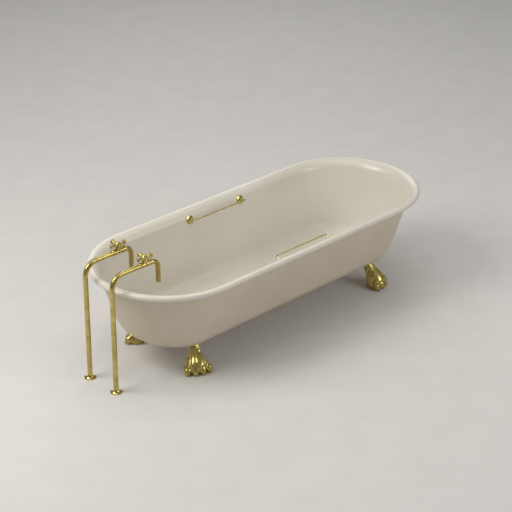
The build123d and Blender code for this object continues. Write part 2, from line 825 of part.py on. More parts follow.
    # Cross handle: a turned hub with four trumpet arms, each with a dished end.
    arm_plane = upright(valve_x, y, handle_middle)
    with BuildPart() as cross_handle:
        with BuildSketch(Plane(origin=(valve_x, y, hub_base), z_dir=(0, 0, 1))):
            Circle(hub_diameter / 2)
        extrude(amount=hub_height)
        chamfer(cross_handle.edges().filter_by(GeomType.CIRCLE), hub_edge)
        with BuildPart(mode=Mode.PRIVATE) as arm:
            with BuildSketch(arm_plane) as arm_profile:
                with BuildLine():
                    tip_start = handle_radius - arm_tip_length
                    Line((0, 0), (0, arm_waist_diameter / 2))
                    Line((0, arm_waist_diameter / 2), (arm_waist_reach, arm_waist_diameter / 2))
                    TangentArc(
                        (arm_waist_reach, arm_waist_diameter / 2),
                        (tip_start, arm_tip_diameter / 2),
                        tangent=(1, 0),
                    )
                    Line((tip_start, arm_tip_diameter / 2), (handle_radius, arm_tip_diameter / 2))
                    Line((handle_radius, arm_tip_diameter / 2), (handle_radius, arm_dish_diameter / 2))
                    Line(
                        (handle_radius, arm_dish_diameter / 2),
                        (handle_radius - arm_dish_depth, 0),
                    )
                    Line((handle_radius - arm_dish_depth, 0), (0, 0))
                make_face()
                fillet(arm_profile.vertices().sort_by(Axis.Y)[-2:], arm_tip_round)
            revolve(axis=Axis(arm_plane.origin, (1, 0, 0)))
        with Locations(Location((valve_x, y, 0))):
            with PolarLocations(0, 4):
                add(arm.part.moved(Location((-valve_x, -y, 0))))
        with BuildSketch(Plane(origin=(valve_x, y, hub_base), z_dir=(0, 0, 1))):
            Circle(spindle_top_diameter / 2 + running_gap)
        extrude(amount=spline_depth, mode=Mode.SUBTRACT)
        with BuildSketch(Plane(origin=(valve_x, y, hub_top), z_dir=(0, 0, 1))):
            Circle(screw_diameter / 2 + thread_gap)
        extrude(amount=-hub_height + spline_depth, mode=Mode.SUBTRACT)
        with BuildSketch(Plane(origin=(valve_x, y, hub_top), z_dir=(0, 0, 1))):
            Circle(cap_spigot_diameter / 2 + running_gap)
        extrude(amount=-cap_recess_depth, mode=Mode.SUBTRACT)
    save(cross_handle, f"cross_handle_{name}")

    with BuildPart() as handle_screw:
        with BuildSketch(Plane(origin=(valve_x, y, hub_top - cap_recess_depth), z_dir=(0, 0, 1))):
            Circle(screw_head_diameter / 2)
        extrude(amount=screw_head_height)
        with BuildSketch(Plane(origin=(valve_x, y, hub_top - cap_recess_depth), z_dir=(0, 0, 1))):
            Circle(screw_diameter / 2)
        extrude(amount=-screw_length)
    save(handle_screw, f"handle_screw_{name}")

    with BuildPart() as handle_cap:
        with BuildSketch(upright(valve_x, y, hub_top)):
            with BuildLine():
                Line((0, 0), (cap_diameter / 2, 0))
                TangentArc((0, cap_rise), (cap_diameter / 2, 0), tangent=(1, 0))
                Line((0, cap_rise), (0, 0))
            make_face()
        revolve(axis=upright_line)
        with BuildSketch(Plane(origin=(valve_x, y, hub_top), z_dir=(0, 0, 1))):
            Circle(cap_spigot_diameter / 2)
            Circle(cap_spigot_bore / 2, mode=Mode.SUBTRACT)
        extrude(amount=-cap_spigot_length)
    save(handle_cap, f"handle_cap_{name}")


# Grab rails: a thin bar on two legs, each ending in a stud through the wall that
# a washer and a nut hold from outside, with a turned rosette round its foot.
washer_seat = wall_thickness + seat_gap
nut_seat = washer_seat + fixing_washer_thickness
fixing_stack = nut_seat + fixing_nut_height + stud_end
for name, side in {"near": -1, "far": 1}.items():
    rail_plane = Plane(
        origin=rail_wall(side).origin,
        x_dir=(1, 0, 0),
        z_dir=Vector(1, 0, 0).cross(rail_wall(side).z_dir),
    )
    rail_points = [
        (rail_ends[0], 0),
        (rail_ends[0], rail_standoff),
        (rail_ends[1], rail_standoff),
        (rail_ends[1], 0),
    ]
    rail_route = pipe_route(rail_plane, rail_points, rail_bend_radius)
    with BuildPart() as grab_rail:
        sweep(pipe_face(rail_wall(side, rail_ends[0]), rail_diameter / 2), path=rail_route)
        for end in rail_ends:
            with BuildSketch(rail_wall(side, end)):
                Circle(stud_diameter / 2)
            extrude(amount=-fixing_stack)
    save(grab_rail, f"grab_rail_{name}")

    with BuildPart() as rail_rosettes:
        for end in rail_ends:
            with BuildSketch(
                Plane(origin=rail_wall(side, end).origin, x_dir=(1, 0, 0), z_dir=rail_plane.z_dir)
            ):
                with BuildLine():
                    Line((rail_diameter / 2 + running_gap, 0), (rosette_diameter / 2, 0))
                    Line((rosette_diameter / 2, 0), (rosette_diameter / 2, rosette_edge))
                    ThreePointArc(
                        (rosette_diameter / 2, rosette_edge),
                        (
                            (rosette_diameter + rosette_neck_diameter) / 4,
                            rosette_shoulder,
                        ),
                        (rosette_neck_diameter / 2, rosette_rise),
                    )
                    Line(
                        (rosette_neck_diameter / 2, rosette_rise),
                        (rail_diameter / 2 + running_gap, rosette_rise),
                    )
                    Line(
                        (rail_diameter / 2 + running_gap, rosette_rise),
                        (rail_diameter / 2 + running_gap, 0),
                    )
                make_face()
            revolve(axis=Axis(rail_wall(side, end).origin, rail_wall(side, end).z_dir))
    save(rail_rosettes, f"rail_rosettes_{name}")

    with BuildPart() as rail_washers:
        for end in rail_ends:
            with BuildSketch(rail_wall(side, end, -washer_seat)):
                Circle(fixing_washer_diameter / 2)
                Circle(stud_diameter / 2 + seat_gap, mode=Mode.SUBTRACT)
            extrude(amount=-fixing_washer_thickness)
    save(rail_washers, f"rail_washers_{name}")

    with BuildPart() as rail_nuts:
        for end in rail_ends:
            with BuildSketch(rail_wall(side, end, -nut_seat)):
                RegularPolygon(fixing_nut_flat / 2, 6, major_radius=False)
                Circle(stud_diameter / 2 + thread_gap, mode=Mode.SUBTRACT)
            extrude(amount=-fixing_nut_height)
    save(rail_nuts, f"rail_nuts_{name}")
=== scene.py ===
import json
import math

import bpy
import numpy as np
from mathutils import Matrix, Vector


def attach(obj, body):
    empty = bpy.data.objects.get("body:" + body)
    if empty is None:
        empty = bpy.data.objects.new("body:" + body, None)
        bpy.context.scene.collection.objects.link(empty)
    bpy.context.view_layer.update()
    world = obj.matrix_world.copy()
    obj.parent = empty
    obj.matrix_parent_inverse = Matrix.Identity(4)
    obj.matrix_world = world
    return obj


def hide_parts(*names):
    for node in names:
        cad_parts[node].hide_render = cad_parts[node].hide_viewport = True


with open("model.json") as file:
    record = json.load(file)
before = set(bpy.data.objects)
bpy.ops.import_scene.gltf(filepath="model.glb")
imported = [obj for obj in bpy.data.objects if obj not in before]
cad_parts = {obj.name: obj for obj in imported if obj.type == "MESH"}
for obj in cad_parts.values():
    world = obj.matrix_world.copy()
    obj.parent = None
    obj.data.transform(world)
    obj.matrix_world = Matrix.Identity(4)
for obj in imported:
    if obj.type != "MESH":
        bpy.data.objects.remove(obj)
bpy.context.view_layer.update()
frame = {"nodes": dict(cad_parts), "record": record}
nodes = frame["nodes"]

MM = 0.001

# Sizes of the tub's casting, in millimetres, as in the solids. Depths go down from the
# middle of the rim's bead, and reaches go in from the rim's outer edge.
HALF_LENGTH = 915.0
HALF_WIDTH = 361.75
TUB_X = 30.0
RIM_Z = 454.0
BEAD = 12.0
BEAD_ROOT = 5.0
WALL = 8.0
INSET = 44.0
LEAN = math.radians(16.8)
DEPTH = 340.0
SIDE_ARC = 98.0
TAP_ARC = 163.0
HEAD_X = TUB_X + HALF_LENGTH - HALF_WIDTH
TAP_X = TUB_X - HALF_LENGTH + HALF_WIDTH
WASTE_X = -530.0
WASTE_HOLE = 24.9

# Steps of the casting's mesh. The enamel covers ENAMEL_STEPS of the bead's own.
FLARE_STEPS = 14
BEAD_STEPS = 22
ENAMEL_STEPS = 18
ROOT_STEPS = 6
UNDER_STEPS = 10
WALL_STEPS = 9
TURN_STEPS = 30
SIDE_STEPS = 44
END_STEPS = 72
FLOOR_STEPS = 10

# The lion-paw feet, in millimetres. A foot's own frame has x forward, y across and z up
# from the floor.
FOOT_X = 575.0
FOOT_Y = 180.0
FOOT_TURN = math.radians(66)
FOOT_RISE = 150.0
FOOT_LENGTH = 150.0
ANKLE_HALF_WIDTH = 17.0
PAW_SPREAD = 45.0
BOSS_BACK = 30.0
BOSS_RADIUS = 12.0
BOSS_Z = 100.0
SOCKET_PLAY = 0.3
POCKET_HALF_WIDTH = 12.0
POCKET_FLOOR = 58.0
POCKET_ROOF = 88.0
HULL_GAP = 0.4

# The leg's section from the floor up: where its middle lies and how long it is, as
# shares of the foot's length, and how far it spreads past the ankle's width.
LEVEL_SHARES = np.array([0.0, 0.2, 0.4, 0.6, 0.8, 1.0])
CENTRE_SHARES = np.array([0.11, 0.12, 0.06, -0.08, -0.22, -0.34])
LENGTH_SHARES = np.array([0.25, 0.29, 0.275, 0.205, 0.165, 0.155])
SPREAD_SHARES = np.array([0.68, 0.78, 0.44, 0.12, 0.02, 0.0])

# Stations on the leg: height, degrees from the front, lift off the surface, radius.
PANEL_TOP = (128.0, 0.0, 5.0, 6.0)
PANEL_FOOT = (70.0, 0.0, 14.5, 17.0)
RIDGE_TOP = (140.0, 62.0, -1.8, 3.6)
RIDGE_BEND = (92.0, 60.0, -1.6, 4.8)
RIDGE_FOOT = (46.0, 56.0, -2.0, 7.0)

# Locks of hair: degrees from the front and height of each root, and what they share.
LOCKS = ((92.0, 58.0), (112.0, 68.0), (132.0, 76.0))
LOCK_DROP = 46.0
LOCK_SWEEP = 12.0
LOCK_LIFT = -3.0
LOCK_ROOT_RADIUS = 6.0
LOCK_END_RADIUS = 3.4

# Toes, by their places across the paw. TOE_FAN is in degrees a place, and a toe further
# out ends TOE_FALL a place sooner.
TOE_PLACES = (-1.5, -0.5, 0.5, 1.5)
TOE_FAN = 8.0
TOE_PITCH = 27.3
TOE_REACH = 76.0
TOE_FALL = 10.5

# Stations on a toe: share of its sideways place, distance behind its tip, height, radius.
KNUCKLE = (0.90, 27.0, 30.0, 13.5)
TOE_MIDDLE = (0.98, 21.0, 22.0, 15.0)
TOE_END = (1.0, 16.0, 13.5, 14.2)
CLAW_ROOT = (1.0, 7.0, 10.0, 4.6)
CLAW_END = (1.0, 3.4, 2.6, 2.4)
TENDON_TOP = (0.55, 44.0, 60.0, 2.0)
TENDON_FOOT = (0.90, 27.0, 30.0, 7.0)

# How widely each form of the foot melts into the rest.
PANEL_BLEND = 5.0
RIDGE_BLEND = 4.0
TOE_BLEND = 5.0
CLAW_BLEND = 2.0
TENDON_BLEND = 9.0
LOCK_BLEND = 2.6

# The foot's field and how it is sampled. A grid gives the first vertices, which are then
# drawn onto the surface.
LEG_SLOPE = 0.9
STEEPEST = 0.985
ABOVE_BOTTOM = 0.01
WELL_INSIDE = -50.0
GRID_LOW = np.array([-104.0, -76.0, -4.0])
GRID_HIGH = np.array([84.0, 76.0, 156.0])
GRID_STEP = 1.9
DRAWS = 3
PROBE = 0.2
LEAST_SLOPE = 0.25
LONGEST_MOVE = 0.5
TINY = 1e-9

# The studio. The floor reaches far enough for no edge to show.
FLOOR_REACH = 60000.0
WORLD_COLOUR = (0.98, 0.97, 0.96, 1)
WORLD_STRENGTH = 0.30
LAMP_AIM = (0, 0, 0.3)
KEY_COLOUR = (1.0, 0.97, 0.92)
LAMP_COLOUR = (1.0, 0.98, 0.95)

# Area lamps: place and size in metres, power in watts, and colour.
LAMPS = {
    "key": ((-3.2, 1.2, 3.6), (2.4, 2.4), 118, KEY_COLOUR),
    "fill": ((2.0, -4.5, 2.6), (3.0, 2.0), 55, LAMP_COLOUR),
    "back": ((3.0, 3.6, 3.2), (2.5, 1.5), 26, LAMP_COLOUR),
    "top": ((0.0, 0.0, 4.2), (4.0, 2.4), 38, LAMP_COLOUR),
}

# The camera: place in metres, and the direction that it looks in.
CAMERA_PLACE = (-4.8647, -4.9684, 3.7529)
CAMERA_DOWN = math.radians(26.41)
CAMERA_TURN = math.radians(44.41)
CAMERA_LENS = 119.47
CAMERA_SENSOR = 36.0
CAMERA_FAR = 200.0

# The colour sockets of a mix node share their names, so they are taken by number.
MIX_SHARE = 0
MIX_FIRST = 6
MIX_SECOND = 7
MIX_COLOUR = 2


# Node helpers


def new_material(name):
    """A material with only an output and a Principled shader."""
    mat = bpy.data.materials.new(name)
    mat.use_nodes = True
    tree = mat.node_tree
    tree.nodes.clear()
    out = tree.nodes.new("ShaderNodeOutputMaterial")
    bsdf = tree.nodes.new("ShaderNodeBsdfPrincipled")
    tree.links.new(bsdf.outputs["BSDF"], out.inputs["Surface"])
    return mat, tree, bsdf


def dress(tree, bsdf, colour, rough, normal=None):
    """Links the shader's colour, roughness and, where there is one, its normal."""
    tree.links.new(colour, bsdf.inputs["Base Color"])
    tree.links.new(rough, bsdf.inputs["Roughness"])
    if normal is not None:
        tree.links.new(normal, bsdf.inputs["Normal"])


def coords(tree, scale=(1, 1, 1)):
    """Object coordinates in metres, stretched by a scale."""
    tex = tree.nodes.new("ShaderNodeTexCoord")
    mapping = tree.nodes.new("ShaderNodeMapping")
    mapping.inputs["Scale"].default_value = scale
    tree.links.new(tex.outputs["Object"], mapping.inputs["Vector"])
    return mapping.outputs["Vector"]


def noise(tree, vector, scale, detail=4.0, rough=0.5):
    """Soft noise from 0 to 1, at a scale per metre."""
    node = tree.nodes.new("ShaderNodeTexNoise")
    node.inputs["Scale"].default_value = scale
    node.inputs["Detail"].default_value = detail
    node.inputs["Roughness"].default_value = rough
    tree.links.new(vector, node.inputs["Vector"])
    return node.outputs["Fac"]


def voronoi(tree, vector, scale):
    """Distance to the nearest of many scattered points, at a scale per metre."""
    node = tree.nodes.new("ShaderNodeTexVoronoi")
    node.inputs["Scale"].default_value = scale
    tree.links.new(vector, node.inputs["Vector"])
    return node.outputs["Distance"]


def ramp(tree, value, low, low_colour, high, high_colour):
    """One colour up to a low value, another from a high one, and a blend between."""
    node = tree.nodes.new("ShaderNodeValToRGB")
    first, last = node.color_ramp.elements
    first.position = low
    first.color = (*low_colour, 1)
    last.position = high
    last.color = (*high_colour, 1)
    tree.links.new(value, node.inputs["Fac"])
    return node.outputs["Color"]


def span(tree, value, low, high, to_low, to_high):
    """A value carried from one range to another."""
    node = tree.nodes.new("ShaderNodeMapRange")
    node.inputs["From Min"].default_value = low
    node.inputs["From Max"].default_value = high
    node.inputs["To Min"].default_value = to_low
    node.inputs["To Max"].default_value = to_high
    tree.links.new(value, node.inputs["Value"])
    return node.outputs["Result"]


def multiply(tree, share, first, second):
    """A colour multiplied by another, by a share."""
    node = tree.nodes.new("ShaderNodeMix")
    node.data_type = "RGBA"
    node.blend_type = "MULTIPLY"
    node.inputs[MIX_SHARE].default_value = share
    tree.links.new(first, node.inputs[MIX_FIRST])
    tree.links.new(second, node.inputs[MIX_SECOND])
    return node.outputs[MIX_COLOUR]


def add(tree, first, second):
    """The sum of two values."""
    node = tree.nodes.new("ShaderNodeMath")
    node.operation = "ADD"
    tree.links.new(first, node.inputs[0])
    tree.links.new(second, node.inputs[1])
    return node.outputs["Value"]


def bump(tree, height, strength, distance, under=None):
    """A normal bent by a height, over another normal where one is given."""
    node = tree.nodes.new("ShaderNodeBump")
    node.inputs["Strength"].default_value = strength
    node.inputs["Distance"].default_value = distance
    tree.links.new(height, node.inputs["Height"])
    if under is not None:
        tree.links.new(under, node.inputs["Normal"])
    return node.outputs["Normal"]


# Materials

WHITE = (1, 1, 1)


def enamel_inside():
    """Vitreous enamel: faint clouding, soft stains and the slow wave of a fired coat."""
    mat, tree, bsdf = new_material("enamel_inside")
    place = coords(tree)
    cloud = noise(tree, place, 3.2, 5.0, 0.55)
    fine = noise(tree, place, 6.0, 3.0)
    cream = ramp(tree, cloud, 0.32, (0.700, 0.668, 0.588), 0.70, (0.735, 0.704, 0.626))
    stain = ramp(tree, noise(tree, place, 1.7, 3.0), 0.38, (0.955, 0.945, 0.925), 0.60, WHITE)
    wave = bump(tree, noise(tree, place, 9.0, 2.0, 0.4), 0.06, 0.004)
    skin = bump(tree, noise(tree, place, 90.0, 2.0), 0.02, 0.0006, wave)
    colour = multiply(tree, 0.8, cream, stain)
    dress(tree, bsdf, colour, span(tree, fine, 0.0, 1.0, 0.27, 0.33), skin)
    bsdf.inputs["IOR"].default_value = 1.5
    bsdf.inputs["Coat Weight"].default_value = 0.3
    bsdf.inputs["Coat Roughness"].default_value = 0.16
    return mat


def outer_coat():
    """The satin coat outside: brushed on over cast iron, so finely pebbled. Its colour is darker
    than the enamel's, with painted shade for the shaded outer walls; its clouding and scuffs are
    its own.
    """
    mat, tree, bsdf = new_material("outer_coat")
    place = coords(tree)
    cloud = noise(tree, place, 4.0, 5.0, 0.6)
    # the coat's cream in random cloudy tones, darkened with painted shade for the shaded outer
    # walls
    coat_tone_and_shade = ramp(tree, cloud, 0.30, (0.590, 0.520, 0.412), 0.72, (0.655, 0.585, 0.475))
    scuff = ramp(tree, noise(tree, place, 22.0, 6.0, 0.7), 0.28, (0.88, 0.86, 0.82), 0.42, WHITE)
    grain = noise(tree, place, 140.0, 4.0, 0.6)
    cast = bump(tree, noise(tree, place, 26.0, 4.0, 0.55), 0.18, 0.003)
    skin = bump(tree, grain, 0.22, 0.0012, cast)
    colour = multiply(tree, 0.6, coat_tone_and_shade, scuff)
    dress(tree, bsdf, colour, span(tree, grain, 0.3, 0.7, 0.40, 0.55), skin)
    return mat


def brass(name, light, dark, rough, cast):
    """Brass with slight tarnish; cast is how strongly its surface is pebbled. The given colours
    keep the alloy's greenish hue but are darkened with painted shade, standing in for dark
    surroundings that the metal reflects.
    """
    mat, tree, bsdf = new_material(name)
    place = coords(tree)
    cloud = noise(tree, place, 38.0, 6.0, 0.62)
    stain = noise(tree, place, 9.0, 4.0, 0.6)
    # random brass tones, all darkened with painted shade for dark reflections
    darkened_metal = ramp(tree, cloud, 0.30, dark, 0.62, light)
    tarnish = ramp(tree, stain, 0.36, (0.72, 0.66, 0.50), 0.56, WHITE)
    polish = noise(tree, coords(tree, (1, 1, 0.12)), 900.0, 3.0, 0.6)
    smear = span(tree, stain, 0.35, 0.65, rough * 1.5, rough * 0.75)
    scratch = span(tree, polish, 0.3, 0.7, -0.03, 0.05)
    pebble = bump(tree, noise(tree, place, 120.0, 4.0, 0.6), cast, 0.0012)
    skin = bump(tree, polish, 0.06, 0.0002, pebble)
    dress(tree, bsdf, multiply(tree, 0.5, darkened_metal, tarnish), add(tree, smear, scratch), skin)
    bsdf.inputs["Metallic"].default_value = 1.0
    return mat


def steel():
    """Zinc-plated steel with faint spangle."""
    mat, tree, bsdf = new_material("plated_steel")
    place = coords(tree)
    spangle = voronoi(tree, place, 420.0)
    colour = ramp(tree, spangle, 0.1, (0.50, 0.50, 0.49), 0.8, (0.68, 0.68, 0.66))
    rough = span(tree, noise(tree, place, 300.0), 0.3, 0.7, 0.28, 0.44)
    dress(tree, bsdf, colour, rough, bump(tree, noise(tree, place, 700.0), 0.1, 0.0003))
    bsdf.inputs["Metallic"].default_value = 1.0
    return mat


def rubber():
    """Matt black rubber with a dusty bloom."""
    mat, tree, bsdf = new_material("matt_rubber")
    place = coords(tree)
    bloom = noise(tree, place, 90.0, 5.0, 0.6)
    colour = ramp(tree, bloom, 0.3, (0.018, 0.018, 0.019), 0.75, (0.06, 0.058, 0.055))
    skin = bump(tree, noise(tree, place, 900.0), 0.15, 0.0003)
    dress(tree, bsdf, colour, span(tree, bloom, 0.3, 0.7, 0.62, 0.8), skin)
    return mat


def ceramic():
    """Lapped white ceramic of the valves' discs."""
    mat, tree, bsdf = new_material("lapped_ceramic")
    grain = noise(tree, coords(tree), 800.0)
    colour = ramp(tree, grain, 0.3, (0.78, 0.77, 0.74), 0.7, (0.86, 0.85, 0.82))
    dress(tree, bsdf, colour, span(tree, grain, 0.3, 0.7, 0.2, 0.32))
    return mat


MATERIALS = {
    "tub_enamel": enamel_inside(),
    # these brass colours are darkened with painted shade, standing in for dark reflections
    "polished_brass": brass("polished_brass", (0.64, 0.53, 0.19), (0.42, 0.34, 0.11), 0.15, 0.05),
    "plain_brass": brass("plain_brass", (0.58, 0.47, 0.20), (0.42, 0.33, 0.13), 0.28, 0.10),
    "fixing_steel": steel(),
    "black_rubber": rubber(),
    "white_ceramic": ceramic(),
}
# the cast brass of the feet is darkened the same way, with painted shade for dark reflections
CAST_BRASS = brass("cast_brass", (0.64, 0.52, 0.18), (0.38, 0.30, 0.09), 0.17, 0.20)
OUTER_COAT = outer_coat()

for part in frame["record"]["subparts"]:
    node = nodes[part["node"]]
    node.data.materials.clear()
    node.data.materials.append(MATERIALS[part["material_slot"]])


# Meshes


def mesh_object(name, verts, faces, mats, face_mats=None):
    """A new smooth object from vertices in millimetres."""
    mesh = bpy.data.meshes.new(name)
    mesh.from_pydata([Vector(v) * MM for v in verts], [], faces)
    for mat in mats:
        mesh.materials.append(mat)
    if face_mats is not None:
        mesh.polygons.foreach_set("material_index", face_mats)
    mesh.polygons.foreach_set("use_smooth", [True] * len(mesh.polygons))
    mesh.validate()
    mesh.update()
    obj = bpy.data.objects.new(name, mesh)
    bpy.context.scene.collection.objects.link(obj)
    return obj


# Tub casting


def lean_reach(depth):
    """How far the straight outer wall lies inside the rim's edge at a depth."""
    return INSET + math.tan(LEAN) * depth


def wall_reach(depth, arc, inward=0.0):
    """How far the wall and the arc below it, or a face inward of them, lie inside the edge."""
    radius = arc - inward
    centre_depth = DEPTH - arc
    straight = lean_reach(depth) + inward / math.cos(LEAN)
    centre = lean_reach(centre_depth) + arc / math.cos(LEAN)
    drop = np.clip(depth - centre_depth, 0.0, radius)
    curved = centre - np.sqrt(np.maximum(radius**2 - drop**2, 0.0))
    return np.where(depth <= centre_depth + radius * math.sin(LEAN), straight, curved)


def arc_points(centre, radius, start, end, steps):
    """Points along an arc, its ends included, with angles in degrees."""
    return [
        (
            centre[0] + radius * math.cos(math.radians(start + (end - start) * k / steps)),
            centre[1] + radius * math.sin(math.radians(start + (end - start) * k / steps)),
        )
        for k in range(steps + 1)
    ]


def rim_profile():
    """The rolled rim from the top of the inner wall over the bead to the outer wall."""
    bead = (HALF_WIDTH - BEAD, 0.0)
    inner_line = HALF_WIDTH - INSET - WALL / math.cos(LEAN)
    spread = bead[0] - inner_line - math.tan(LEAN) * BEAD
    flare = spread * math.cos(LEAN) / (1 - math.sin(LEAN))
    under = flare - WALL
    centre = (bead[0], BEAD - flare)
    wall_turn = 180 - math.degrees(LEAN)
    reach_bead = BEAD + BEAD_ROOT
    reach_under = under - BEAD_ROOT
    gap = bead[1] - centre[1]
    root_rise = (reach_under**2 - reach_bead**2 - gap**2) / (2 * gap)
    root = (bead[0] - math.sqrt(reach_bead**2 - root_rise**2), root_rise)
    to_bead = math.degrees(math.atan2(bead[1] - root[1], bead[0] - root[0]))
    to_under = math.degrees(math.atan2(root[1] - centre[1], root[0] - centre[0]))
    root_end = to_under - 360 * (to_under > to_bead)
    points = arc_points(centre, flare, wall_turn, 90, FLARE_STEPS)
    points += arc_points(bead, BEAD, 90, to_bead - 180, BEAD_STEPS)[1:]
    points += arc_points(root, BEAD_ROOT, to_bead, root_end, ROOT_STEPS)[1:]
    points += arc_points(centre, under, to_under, wall_turn, UNDER_STEPS)[1:]
    return points


def hull_stations(inward, first_depth):
    """(side, nose, height) down the wall from a depth to the flat bottom."""
    radius = TAP_ARC - inward
    arc_start = DEPTH - TAP_ARC + radius * math.sin(LEAN)
    depths = [
        first_depth + (arc_start - first_depth) * k / WALL_STEPS for k in range(1, WALL_STEPS + 1)
    ]
    for k in range(1, TURN_STEPS + 1):
        turn = LEAN + (math.pi / 2 - LEAN) * k / TURN_STEPS
        depths.append(DEPTH - TAP_ARC + radius * math.sin(turn))
    return [
        (
            HALF_WIDTH - wall_reach(depth, SIDE_ARC, inward),
            HALF_WIDTH - wall_reach(depth, TAP_ARC, inward),
            RIM_Z - depth,
        )
        for depth in depths
    ]


def outline(side, nose, height):
    """One closed ring round the tub: near side, head arc, far side, tap arc."""
    ring = []
    for edge, start, end, reach in ((-1, TAP_X, HEAD_X, side), (1, HEAD_X, TAP_X, nose)):
        for k in range(SIDE_STEPS):
            ring.append(Vector((start + (end - start) * k / SIDE_STEPS, edge * side, height)))
        for k in range(END_STEPS):
            turn = math.pi * k / END_STEPS + edge * math.pi / 2
            ring.append(Vector((end + reach * math.cos(turn), side * math.sin(turn), height)))
    return ring


def floor_rings(edge):
    """Rings across a flat floor from its edge to the waste hole."""
    middle = Vector((WASTE_X, 0, edge[0].z))
    hole = [middle + (point - middle).normalized() * WASTE_HOLE for point in edge]
    return [
        [point.lerp(inner, k / FLOOR_STEPS) for point, inner in zip(edge, hole)]
        for k in range(1, FLOOR_STEPS + 1)
    ]


def build_tub():
    """The casting as rings joined in a loop: floor, inner wall, rim, outer wall, underside."""
    rim = rim_profile()
    inner = hull_stations(WALL, -rim[0][1])
    outer = hull_stations(0.0, -rim[-1][1])
    rings = [outline(*station) for station in reversed(inner)]
    rings = list(reversed(floor_rings(rings[0]))) + rings
    # the enamel wraps over the bead and ends under it
    enamel_end = len(rings) + FLARE_STEPS + ENAMEL_STEPS
    rings += [outline(y, y, RIM_Z + z) for y, z in rim]
    rings += [outline(*station) for station in outer]
    rings += floor_rings(rings[-1])
    size = len(rings[0])
    verts = [v for ring in rings for v in ring]
    faces = []
    kinds = []
    for j in range(len(rings)):
        low = j * size
        high = ((j + 1) % len(rings)) * size
        for i in range(size):
            k = (i + 1) % size
            faces.append((low + i, low + k, high + k, high + i))
            kinds.append(0 if j < enamel_end else 1)
    tub = mesh_object("tub_casting", verts, faces, [MATERIALS["tub_enamel"], OUTER_COAT], kinds)
    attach(tub, "root")
    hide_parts("tub_shell")


# Lion-paw feet, from a field that is negative inside the metal


def leg_curve(values):
    """A polynomial through one value for each level of the leg."""
    return np.polyfit(LEVEL_SHARES * FOOT_RISE, values, len(values) - 1)


CENTRES = leg_curve(CENTRE_SHARES * FOOT_LENGTH)
LENGTHS = leg_curve(LENGTH_SHARES * FOOT_LENGTH)
WIDTHS = leg_curve(ANKLE_HALF_WIDTH + PAW_SPREAD * SPREAD_SHARES)


def leg_section(height):
    """Where the leg's middle lies at a height, and its half length and half width."""
    return [np.polyval(curve, height) for curve in (CENTRES, LENGTHS, WIDTHS)]


def blend(a, b, k):
    """The smooth least of two fields."""
    h = np.clip(0.5 + 0.5 * (b - a) / k, 0.0, 1.0)
    return b * (1 - h) + a * h - k * h * (1 - h)


def capsule(p, a, b, ra, rb):
    """Distance to a tapered round bar between two points."""
    a, b = np.array(a, float), np.array(b, float)
    ab = b - a
    t = np.clip(((p - a) @ ab) / (ab @ ab), 0.0, 1.0)
    near = a + t[..., None] * ab
    return np.linalg.norm(p - near, axis=-1) - (ra + (rb - ra) * t)


def leg_bar(p, side, first, second):
    """A bar between two stations on the leg, on one side of it."""
    ends = []
    for height, angle, lift, _ in (first, second):
        turn = math.radians(side * angle)
        middle, half_length, half_width = leg_section(height)
        x = middle + (half_length + lift) * math.cos(turn)
        ends.append((x, (half_width + lift) * math.sin(turn), height))
    return capsule(p, *ends, first[3], second[3])


def toe_bar(p, place, first, second):
    """A bar between two stations on the toe at a place."""
    turn = math.radians(place * TOE_FAN)
    tip = TOE_REACH - abs(place) * TOE_FALL
    fore = np.array([math.cos(turn), math.sin(turn), 0.0])
    base = np.array([0.0, place * TOE_PITCH, 0.0])
    ends = [
        base * share + fore * (tip - back) + np.array([0.0, 0.0, height])
        for share, back, height, _ in (first, second)
    ]
    return capsule(p, *ends, first[3], second[3])


def hull_field(x, y, z):
    """Roughly the distance outside the tub's hull."""
    depth = np.clip(RIM_Z - z, 0.0, DEPTH - ABOVE_BOTTOM)
    half = HALF_WIDTH - wall_reach(depth, SIDE_ARC)
    nose = HALF_WIDTH - wall_reach(depth, TAP_ARC)
    past_head = np.maximum(x - HEAD_X, 0.0)
    past_tap = np.minimum(x - TAP_X, 0.0)
    radial = np.sqrt((y / half) ** 2 + (past_head / half) ** 2 + (past_tap / nose) ** 2)
    steep = np.clip((RIM_Z - z - (DEPTH - SIDE_ARC)) / SIDE_ARC, 0.0, STEEPEST)
    level = (radial - 1.0) * half * np.sqrt(1.0 - steep**2)
    return np.maximum(level, (RIM_Z - z) - DEPTH)


